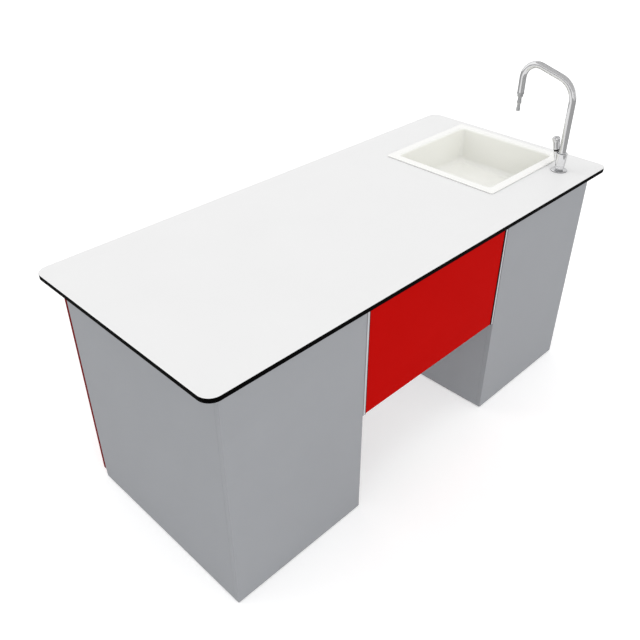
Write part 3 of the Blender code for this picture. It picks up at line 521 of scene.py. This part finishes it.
def make_waste():
    """Plated waste in the bowl's floor, then nut, dip tube, ring nut, bottle trap and outlet pipe."""
    seat = Matrix.Translation((SINK_AT.x, SINK_AT.y, DRAIN_Z))
    shape = turned(((0.038, 0.0), (0.0365, 0.0014), (0.030, 0.0024), (0.0228, 0.0022), (0.0190, 0.0),
                    (0.0190, -0.075), (0.0215, -0.075), (0.0215, 0.0)), seat, edge=0.0004)
    place_piece("waste_ring", shape, "table", (NICKEL,), "waste_flange")
    shape = copy_of("waste_grate")
    ease(shape, 0.0004)
    place_piece("waste_strainer", shape, "table", (NICKEL,), "waste_grate")
    for node, name in (("waste_nut", "waste_backnut"), ("trap_nut", "trap_ring_nut")):
        shape = copy_of(node)
        ease(shape, 0.001)
        place_piece(name, shape, "table", (POLYPROPYLENE,), node)
    below = Matrix.Translation((SINK_AT.x, SINK_AT.y, 0.0))
    low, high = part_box("trap_dip_tube")
    flare, bore, tail = 0.0215, 0.0165, 0.0190
    shoulder = high.z - 0.0025
    shape = turned(((flare, high.z), (bore, high.z), (bore, low.z), (tail, low.z), (tail, shoulder),
                    (flare, shoulder)), below, edge=0.0003)
    place_piece("trap_tail", shape, "table", (POLYPROPYLENE,), "trap_dip_tube")
    low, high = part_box("bottle_trap")
    wall, groove, bore, neck = 0.0340, 0.0326, 0.0305, 0.0193
    cup = high.z - 0.062
    roof = high.z - 0.0035
    shape = turned(((0.0, low.z), (0.0270, low.z), (0.0328, low.z + 0.006), (0.0336, cup - 0.014),
                    (wall, cup - 0.012), (wall, cup), (groove, cup + 0.001), (groove, cup + 0.004),
                    (wall, cup + 0.006), (wall, high.z), (neck, high.z), (neck, roof), (bore, roof),
                    (bore, low.z + 0.006), (0.0, low.z + 0.004)), below, edge=0.0008)
    pipe_z = middle("trap_outlet").z
    start = Matrix.Translation((SINK_AT.x, SINK_AT.y - 0.024, pipe_z)) @ FACE_CLASS
    hole = drawn_tube(start, 0.0163, [TO_DOORS * -0.03], sides=48)
    shape = boolean_of(shape, hole, "DIFFERENCE")
    place_piece("trap_bottle", shape, "table", (POLYPROPYLENE,), "bottle_trap")
    low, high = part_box("trap_outlet")
    length = high.y - low.y
    pipe, bead, bore = 0.0160, 0.0185, 0.0135
    along = Matrix.Translation((SINK_AT.x, low.y, pipe_z)) @ FACE_DOORS
    shape = turned(((pipe, 0.0), (pipe, length - 0.050), (bead, length - 0.049), (bead, length - 0.044),
                    (pipe, length - 0.043), (pipe, length), (bore, length), (bore, 0.0)), along, edge=0.0004)
    place_piece("trap_outlet_pipe", shape, "table", (POLYPROPYLENE,), "trap_outlet")


def make_tap_mounting():
    """Flange on its gasket, neck ring, shank with its thread, washer and nut."""
    flange, bore, wide_bore, neck = 0.0255, 0.0087, 0.0100, 0.0113
    shape = turned(((bore, 0.0016), (0.0253, 0.0016), (flange, 0.0020), (0.0240, 0.0034), (0.0150, 0.0040),
                    (bore, 0.0040)), TAP, steps=96, edge=0.0002)
    place_piece("tap_base_plate", shape, "table", (CHROME,), "tap_flange")
    shape = turned(((wide_bore, 0.0003), (flange, 0.0003), (flange, 0.0015), (wide_bore, 0.0015)), TAP,
                   steps=96, edge=0.0002)
    place_piece("tap_gasket", shape, "table", (GREY_RUBBER,))
    shape = turned(((bore, 0.0046), (neck, 0.0046), (neck, 0.0091), (bore, 0.0091)), TAP, edge=0.0005)
    place_piece("tap_neck_seal", shape, "table", (GREY_NYLON,), "tap_neck_ring")
    low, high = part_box("tap_shank")
    inlet, crest, root, pitch = 0.0050, 0.0083, 0.0076, 0.0014
    thread_top = TOP_LOW.z - 0.002
    profile = [(inlet, high.z), (crest, high.z)]
    for step in range(int((thread_top - low.z) / pitch)):
        level = thread_top - step * pitch
        profile += [(crest, level), (root, level - pitch / 2)]
    profile += [(0.0080, low.z), (inlet, low.z)]
    shape = turned(profile, Matrix.Translation((TAP_AT.x, TAP_AT.y, 0.0)), steps=48)
    place_piece("tap_tailpiece", shape, "table", (BRASS,), "tap_shank", crease=20)
    for node, name, finish, slot in (("tap_washer", "tap_backing_washer", RUBBER, "rubber"),
                                     ("tap_nut", "tap_backnut", BRASS, "brass")):
        shape = copy_of(node)
        ease(shape, 0.0004)
        place_piece(name, shape, "table", (finish,), node)


def make_tap_body():
    """Tapered body with a socket for the spout and a tilted boss, the headwork's neck and its dust ring."""
    bore, inlet = 0.0087, 0.0050
    socket, socket_floor = 0.0109, 0.0430
    well, neck = 0.0040, 0.0070
    shape = turned(((bore, 0.0094), (0.0136, 0.0094), (0.0142, 0.0100), (0.0145, 0.0163), (0.0137, 0.0166),
                    (0.0137, 0.0174), (0.0146, 0.0177), (0.0168, 0.0560), (0.0170, 0.0575), (0.0162, 0.0590),
                    (0.0125, 0.0590), (socket, 0.0580), (socket, socket_floor), (inlet, socket_floor),
                    (inlet, 0.0217), (bore, 0.0217)), TAP, steps=96, edge=0.0003)
    boss = turned(((0.0, -0.0376), (0.0070, -0.0376), (0.0085, -0.0084), (0.0079, -0.0076), (0.0, -0.0076)),
                  KNOB)
    shape = boolean_of(shape, boss, "UNION")
    hollow = turned(((0.0, socket_floor), (socket, socket_floor), (socket, 0.0900), (0.0, 0.0900)), TAP)
    shape = boolean_of(shape, hollow, "DIFFERENCE")
    hollow = turned(((0.0, -0.0146), (well, -0.0146), (well, 0.0), (0.0, 0.0)), KNOB)
    shape = boolean_of(shape, hollow, "DIFFERENCE")
    place_piece("tap_casting", shape, "table", (CHROME,), "tap_body")
    shape = turned(((well, -0.0073), (0.0078, -0.0073), (0.0078, -0.0050), (neck, -0.0044), (neck, -0.0003),
                    (well, -0.0003)), KNOB)
    place_piece("tap_headwork_neck", shape, "table", (NICKEL,), "tap_headwork")
    shape = turned(((0.0071, -0.0042), (0.0080, -0.0042), (0.0089, -0.0034), (0.0091, -0.0024),
                    (0.0089, -0.0014), (0.0080, -0.0006), (0.0071, -0.0006)), KNOB)
    place_piece("tap_dust_ring", shape, "table", (RUBBER,))


def make_knob():
    """Knob with scalloped flutes, a waist groove and a domed crown, on its spindle."""
    flutes, flute_depth, fade_length = 12, 0.0013, 0.004
    flute_foot, flute_top, grip_least = 0.0009, 0.0284, 0.009
    shape = turned(((0.0, 0.0140), (0.0039, 0.0140), (0.0039, 0.0), (0.0096, 0.0), (0.0102, 0.0008),
                    (0.0110, 0.0180), (0.0117, 0.0285), (0.0111, 0.0290), (0.0111, 0.0300), (0.0120, 0.0306),
                    (0.0120, 0.0345), (0.0112, 0.0372), (0.0091, 0.0390), (0.0066, 0.0397), (0.0062, 0.0392),
                    (0.0, 0.0396)), Matrix.Identity(4), steps=144)
    grip = [edge for edge in shape.edges if abs(edge.verts[0].co.z - edge.verts[1].co.z) > 0.008
            and edge.verts[0].co.to_2d().length > grip_least]
    bmesh.ops.subdivide_edges(shape, edges=grip, cuts=5, use_grid_fill=True)
    for vert in shape.verts:
        radius = vert.co.to_2d().length
        if radius > grip_least and flute_foot < vert.co.z < flute_top:
            turn = math.atan2(vert.co.y, vert.co.x)
            fade = min(1.0, (flute_top - vert.co.z) / fade_length)
            scallop = max(0.0, math.cos(flutes * turn)) * flute_depth * fade
            vert.co.x *= 1 - scallop / radius
            vert.co.y *= 1 - scallop / radius
    bmesh.ops.transform(shape, matrix=KNOB, verts=shape.verts)
    bmesh.ops.recalc_face_normals(shape, faces=shape.faces)
    place_piece("tap_grip", shape, "knob", (CHROME,), "tap_knob", crease=30)
    shape = turned(((0.0, -0.0143), (0.0036, -0.0143), (0.0036, 0.0136), (0.0, 0.0136)), KNOB, steps=32,
                   edge=0.0003)
    place_piece("tap_stem", shape, "knob", (NICKEL,), "tap_spindle")


def make_spout():
    """Swan neck drawn as riser, bend, rising run, bend and drop, a seal ring and a serrated hose nozzle."""
    tube, reach = 0.0105, 0.181
    near_bend, far_bend = 0.070, 0.048
    slope = math.radians(15.6)
    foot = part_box("tap_spout")[0].z
    rise = TAP_AT.z + 0.273
    end = TAP_AT.z + 0.2125
    drop_y = TAP_AT.y + reach
    # Each bend takes its tangent's length off the runs that would meet in a corner.
    first, second = math.pi / 2 - slope, math.pi / 2 + slope
    near_cut = near_bend * math.tan(first / 2)
    far_cut = far_bend * math.tan(second / 2)
    run = Vector((0.0, math.cos(slope), math.sin(slope))) * (reach / math.cos(slope) - near_cut - far_cut)
    knee = Vector((TAP_AT.x, TAP_AT.y + near_bend, rise - near_cut))
    crown = Vector((TAP_AT.x, drop_y - far_bend, rise + reach * math.tan(slope) - far_cut))
    moves = [UP * (knee.z - foot), (knee, -ALONG, first, 20), run, (crown, -ALONG, second, 26),
             UP * (end - crown.z)]
    shape = drawn_tube(Matrix.Translation((TAP_AT.x, TAP_AT.y, foot)), tube, moves, sides=48)
    place_piece("tap_swan_neck", shape, "spout", (CHROME,), "tap_spout")
    shape = turned(((0.0106, 0.0592), (0.0122, 0.0592), (0.0122, 0.0602), (0.0106, 0.0610)), TAP, edge=0.0002)
    place_piece("tap_swivel_seal", shape, "spout", (GREY_NYLON,))
    bore, plug, collar = 0.0030, 0.0082, 0.0112
    shape = turned(((bore, 0.0100), (plug, 0.0100), (plug, -0.0003), (collar, -0.0003), (collar, -0.0043),
                    (0.0100, -0.0050), (0.0093, -0.0056), (0.0093, -0.0125), (0.0085, -0.0138),
                    (0.0062, -0.0153), (0.0058, -0.0200), (0.0062, -0.0263), (0.0076, -0.0325),
                    (0.0074, -0.0338), (0.0052, -0.0370), (0.0050, -0.0430), (0.0053, -0.0483),
                    (0.0064, -0.0545), (0.0062, -0.0558), (0.0058, -0.0603), (bore, -0.0603)),
                   Matrix.Translation((TAP_AT.x, drop_y, end)), edge=0.0002)
    place_piece("tap_hose_barb", shape, "spout", (SATIN_CHROME,), "tap_nozzle")


def make_boards():
    """Melamine boards with edge bands, red doors and skids, all with eased edges."""
    for side in SIDES:
        # Each board with the axis that its broad faces look along.
        boards = {"outer_side": 0, "inner_side": 0, "class_panel": 1, "bottom": 2, "class_rail": 1,
                  "door_rail": 1}
        if side == "left":
            boards.update({"shelf": 2, "outer_batten": 0, "inner_batten": 0})
        for board, axis in boards.items():
            node = f"{side}_{board}"
            shape = copy_of(node)
            ease(shape, 0.0004)
            paint_by_axis(shape, axis)
            place_piece(f"{node}_board", shape, "table", (MELAMINE, EDGE_BAND), node)
        for skid in ("outer_skid", "inner_skid"):
            node = f"{side}_{skid}"
            shape = copy_of(node)
            ease(shape, 0.0008)
            place_piece(f"{node}_strip", shape, "table", (BLACK_PLASTIC,), node)
        node = f"{side}_door"
        shape = copy_of(node)
        round_rim(shape, node)
        paint_by_axis(shape, 1)
        place_piece(f"{node}_leaf", shape, f"{side}_door", (RED, RED_EDGE), node)


def strip(low, high):
    """Long strip between two corners, with rounded edges."""
    shape = bmesh.new()
    place = Matrix.Translation((low + high) / 2) @ Matrix.Diagonal((*(high - low), 1.0))
    bmesh.ops.create_cube(shape, size=1.0, matrix=place)
    ease(shape, 0.0003)
    return shape


def draw_in(shape, axis, limit, distance):
    """Move the side of a shape that lies on a plane across an axis."""
    side = [vert for vert in shape.verts if abs(vert.co[axis] - limit) < 0.0001]
    way = Vector((0.0, 0.0, 0.0))
    way[axis] = distance
    bmesh.ops.translate(shape, vec=way, verts=side)


def make_modesty_panel():
    """Red panel a little behind two end profiles, rubber gaskets at its ends, and foam tape by the cabinets."""
    gasket, tape = 0.0020, 0.0032
    proud, behind = 0.0013, 0.0016
    # The solids lie a gap apart, and the strips between them stay clear of both neighbours.
    gap, clear = 0.0003, 0.0001
    low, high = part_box("modesty_panel")
    panel = copy_of("modesty_panel")
    for side, sign in SIDES.items():
        node = f"modesty_profile_{side}"
        first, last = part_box(node)
        outer = last.x if sign > 0 else first.x
        inner = high.x if sign > 0 else low.x
        draw_in(panel, 0, inner, -sign * gasket)
        shape = copy_of(node)
        draw_in(shape, 0, outer, -sign * tape)
        draw_in(shape, 1, first.y, -proud)
        ease(shape, 0.0008, steps=3)
        place_piece(f"{node}_extrusion", shape, "table", (POWDER,), node)
        near, far = sorted((inner - sign * (gasket - clear), inner + sign * (gap - clear)))
        shape = strip(Vector((near, first.y - proud + gap, low.z + gap)), Vector((far, high.y, high.z - gap)))
        place_piece(f"{side}_panel_gasket", shape, "table", (RUBBER,))
        near, far = sorted((outer - sign * (tape - clear), outer + sign * (gap - clear)))
        shape = strip(Vector((near, first.y + gap, first.z + gap)), Vector((far, last.y - gap, last.z - gap)))
        place_piece(f"{side}_profile_tape", shape, "table", (GREY_FOAM,))
    draw_in(panel, 1, low.y, behind)
    round_rim(panel, "modesty_panel", gasket)
    paint_by_axis(panel, 1)
    place_piece("modesty_panel_leaf", panel, "table", (RED, RED_EDGE), "modesty_panel")


def make_handles():
    """Bow handles drawn from round bar, with a small collar at each foot."""
    bar, bend, bend_steps = 0.0045, 0.012, 12
    hole, collar = 0.0046, 0.0065
    for side in SIDES:
        low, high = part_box(f"{side}_handle")
        x = (low.x + high.x) / 2
        top, bottom = high.z - bar, low.z + bar
        door = low.y
        straight = high.y - bar - door - bend
        turn_y = door + straight
        moves = [TO_DOORS * straight,
                 (Vector((x, turn_y, top - bend)), -ALONG, math.pi / 2, bend_steps),
                 UP * (bottom + 2 * bend - top),
                 (Vector((x, turn_y, bottom + bend)), -ALONG, math.pi / 2, bend_steps),
                 TO_DOORS * -straight]
        shape = drawn_tube(Matrix.Translation((x, door, top)) @ FACE_CLASS, bar, moves, sides=28)
        for height in (top, bottom):
            foot = Matrix.Translation((x, door, height)) @ FACE_DOORS
            add_shape(shape, turned(((hole, 0.0), (collar, 0.0), (collar, 0.0020), (0.0058, 0.0028),
                                     (hole, 0.0028)), foot, steps=40, edge=0.0002))
        place_piece(f"{side}_bow_handle", shape, f"{side}_door", (NICKEL,), f"{side}_handle")


def make_hinges():
    """Concealed hinges: cups, arms and links with eased edges."""
    for side in SIDES:
        for level in LEVELS:
            for part, body in (("cup", f"{side}_door"), ("arm", "table"), ("link", f"{side}_hinge_links")):
                node = f"{side}_{level}_hinge_{part}"
                shape = copy_of(node)
                ease(shape, 0.00025)
                place_piece(f"{node}_plated", shape, body, (NICKEL,), node)


def screw_head(place, way, radius=0.0035):
    """Low screw head with a driver recess, its face towards a direction."""
    turn = Matrix.Translation(place) @ UP.rotation_difference(way).to_matrix().to_4x4()
    return turned(((0.0, 0.0001), (radius * 0.30, 0.0001), (radius * 0.45, 0.0005), (radius * 0.85, 0.0007),
                   (radius, 0.0003), (radius, 0.0), (0.0, 0.0)), turn, steps=24)


def make_hinge_screws(side, sign):
    """Screws in the flanges of the cups, and in the arms."""
    heads = bmesh.new()
    from_end = 0.0045
    for level in LEVELS:
        low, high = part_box(f"{side}_{level}_hinge_cup")
        for height in (low.z + from_end, high.z - from_end):
            add_shape(heads, screw_head(((low.x + high.x) / 2, low.y, height), -TO_DOORS, 0.0024))
    place_piece(f"{side}_cup_screws", heads, f"{side}_door", (NICKEL,))
    heads = bmesh.new()
    half_board, arm_rise = 0.008, 0.0113
    face = middle(f"{side}_outer_side").x - sign * (half_board + arm_rise)
    for level in LEVELS:
        low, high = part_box(f"{side}_{level}_hinge_arm")
        for back in (0.012, 0.034):
            add_shape(heads, screw_head((face, low.y + back, (low.z + high.z) / 2), -sign * ALONG, 0.0034))
    place_piece(f"{side}_arm_screws", heads, "table", (NICKEL,))


def make_profile_screws(side, sign):
    """Screws through each end profile, into the red panel and into the cabinet."""
    low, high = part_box(f"modesty_profile_{side}")
    inner = low.x if sign > 0 else high.x
    panel_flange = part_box("modesty_panel")[1].y + 0.0033
    cabinet_flange = inner + sign * 0.026
    heads = bmesh.new()
    for share in (0.12, 0.5, 0.88):
        height = low.z + share * (high.z - low.z)
        add_shape(heads, screw_head((inner + sign * 0.011, panel_flange, height), TO_DOORS))
        add_shape(heads, screw_head((cabinet_flange, high.y - 0.012, height), -sign * ALONG))
    place_piece(f"{side}_profile_screws", heads, "table", (NICKEL,))


def make_door_buffers(side, sign):
    """Domed buffers inside the door's free edge."""
    low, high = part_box(f"{side}_door")
    free = low.x if sign > 0 else high.x
    from_edge, from_end = 0.0075, 0.045
    dots = bmesh.new()
    for height in (low.z + from_end, high.z - from_end):
        place = Matrix.Translation((free + sign * from_edge, low.y, height)) @ FACE_CLASS
        add_shape(dots, turned(((0.0, 0.0), (0.0040, 0.0), (0.0038, 0.0009), (0.0028, 0.0015), (0.0, 0.0017)),
                               place, steps=32))
    place_piece(f"{side}_door_buffers", dots, f"{side}_door", (POLYPROPYLENE,))


def stage_sheet(name, places, material):
    """Flat rectangles in one object that isn't part of the table, each a 2 m square before its place."""
    shape = bmesh.new()
    for place in places:
        bmesh.ops.create_grid(shape, x_segments=1, y_segments=1, size=1.0, matrix=place)
    data = bpy.data.meshes.new(name)
    shape.to_mesh(data)
    shape.free()
    data.materials.append(material)
    sheet = bpy.data.objects.new(name, data)
    bpy.context.scene.collection.objects.link(sheet)
    return sheet


def seen_by(tree, rays):
    """One on rays from the camera, a mirror or glass, and nought on rays that only light the table."""
    seen = rays["Is Camera Ray"]
    for kind in ("Is Glossy Ray", "Is Transmission Ray"):
        seen = add_node(tree, "ShaderNodeMath", {0: seen, 1: rays[kind]}, operation="MAXIMUM").outputs[0]
    return seen


def make_floor():
    """Pale floor that keeps a soft shadow and lifts to white; polished metal mirrors it as a softer grey."""
    lift, drop = 0.30, 0.0006
    material, tree, shader = new_material("pale_floor", Roughness=0.9, Specular_IOR_Level=0.0,
                                          Emission_Color=(1.0, 1.0, 1.0, 1.0))
    rays = add_node(tree, "ShaderNodeLightPath").outputs
    add_node(tree, "ShaderNodeMath", {0: seen_by(tree, rays), 1: lift},
             (0, shader.inputs["Emission Strength"]), operation="MULTIPLY")
    add_node(tree, "ShaderNodeMix",
             {"Factor": rays["Is Glossy Ray"], "A": linear("#f2f2f2"), "B": linear("#555555")},
             ("Result", shader.inputs["Base Color"]), data_type="RGBA")
    place = Matrix.Translation(UP * -drop) @ Matrix.Diagonal((14.0, 14.0, 1.0, 1.0))
    stage_sheet("floor", [place], material)


def make_flag():
    """Wide pale cards, overhead, left and in front, that only reflections see, so that metal keeps a grey."""
    material = new_material("grey_card", Base_Color=linear("#cbcbcb"), Roughness=0.9)[0]
    overhead = Matrix.Translation((2.0, -3.0, 3.6)) @ Matrix.Diagonal((7.0, 5.0, 1.0, 1.0))
    left = Matrix.Translation((-9.0, 3.0, 1.9)) @ Matrix.Rotation(math.pi / 2, 4, "Y")
    left = left @ Matrix.Diagonal((1.9, 8.0, 1.0, 1.0))
    front = Matrix.Translation((2.0, -9.0, 1.9)) @ FACE_CLASS @ Matrix.Diagonal((7.0, 1.9, 1.0, 1.0))
    flag = stage_sheet("flag", [overhead, left, front], material)
    flag.visible_camera = False
    flag.visible_diffuse = False
    flag.visible_shadow = False


def make_light():
    """Even white studio dome, and broad lamps overhead, from the class side's left and from the door side."""
    world = bpy.data.worlds.new("studio")
    bpy.context.scene.world = world
    world.use_nodes = True
    tree = world.node_tree
    back = tree.nodes["Background"]
    back.inputs["Color"].default_value = (1.0, 1.0, 1.0, 1.0)
    # The dome lights the table a little under one, and is seen and mirrored as plain white.
    lit, shown = 0.78, 1.0
    seen = seen_by(tree, add_node(tree, "ShaderNodeLightPath").outputs)
    add_node(tree, "ShaderNodeMapRange", {"Value": seen, "To Min": lit, "To Max": shown},
             ("Result", back.inputs["Strength"]))
    for name, way, strength, spread in (("overhead", (0.05, 0.08, -1.0), 0.23, 30.0),
                                        ("class_side", (0.36, 0.83, -0.42), 0.75, 50.0),
                                        ("door_side", (0.50, -0.78, -0.38), 0.5, 50.0)):
        lamp = bpy.data.lights.new(name, "SUN")
        lamp.energy = strength
        lamp.angle = math.radians(spread)
        soft = bpy.data.objects.new(name, lamp)
        soft.rotation_euler = Vector(way).to_track_quat("-Z", "Y").to_euler()
        soft.visible_glossy = False
        bpy.context.scene.collection.objects.link(soft)


def make_camera():
    """Camera at the photograph's place, above the class side at the left end, fitted to its straight edges."""
    place = Vector((-1.44288, -1.28715, 1.71984))
    right = Vector((0.706727, -0.707485, 0.000808))
    down = Vector((-0.405645, -0.406147, -0.818839))
    forward = Vector((0.579645, 0.578368, -0.574023))
    data = bpy.data.cameras.new("camera")
    data.sensor_width = 36.0
    data.lens = 41.396
    camera = bpy.data.objects.new("camera", data)
    turn = Matrix((right, -down, -forward)).transposed()
    camera.matrix_world = Matrix.Translation(place) @ turn.to_4x4()
    bpy.context.scene.collection.objects.link(camera)
    bpy.context.scene.camera = camera


make_worktop()
make_sink()
make_waste()
make_tap_mounting()
make_tap_body()
make_knob()
make_spout()
make_boards()
make_modesty_panel()
make_handles()
make_hinges()
for cabinet, outwards in SIDES.items():
    make_hinge_screws(cabinet, outwards)
    make_profile_screws(cabinet, outwards)
    make_door_buffers(cabinet, outwards)
make_floor()
make_flag()
make_light()
make_camera()
bpy.context.scene.view_settings.view_transform = "Standard"
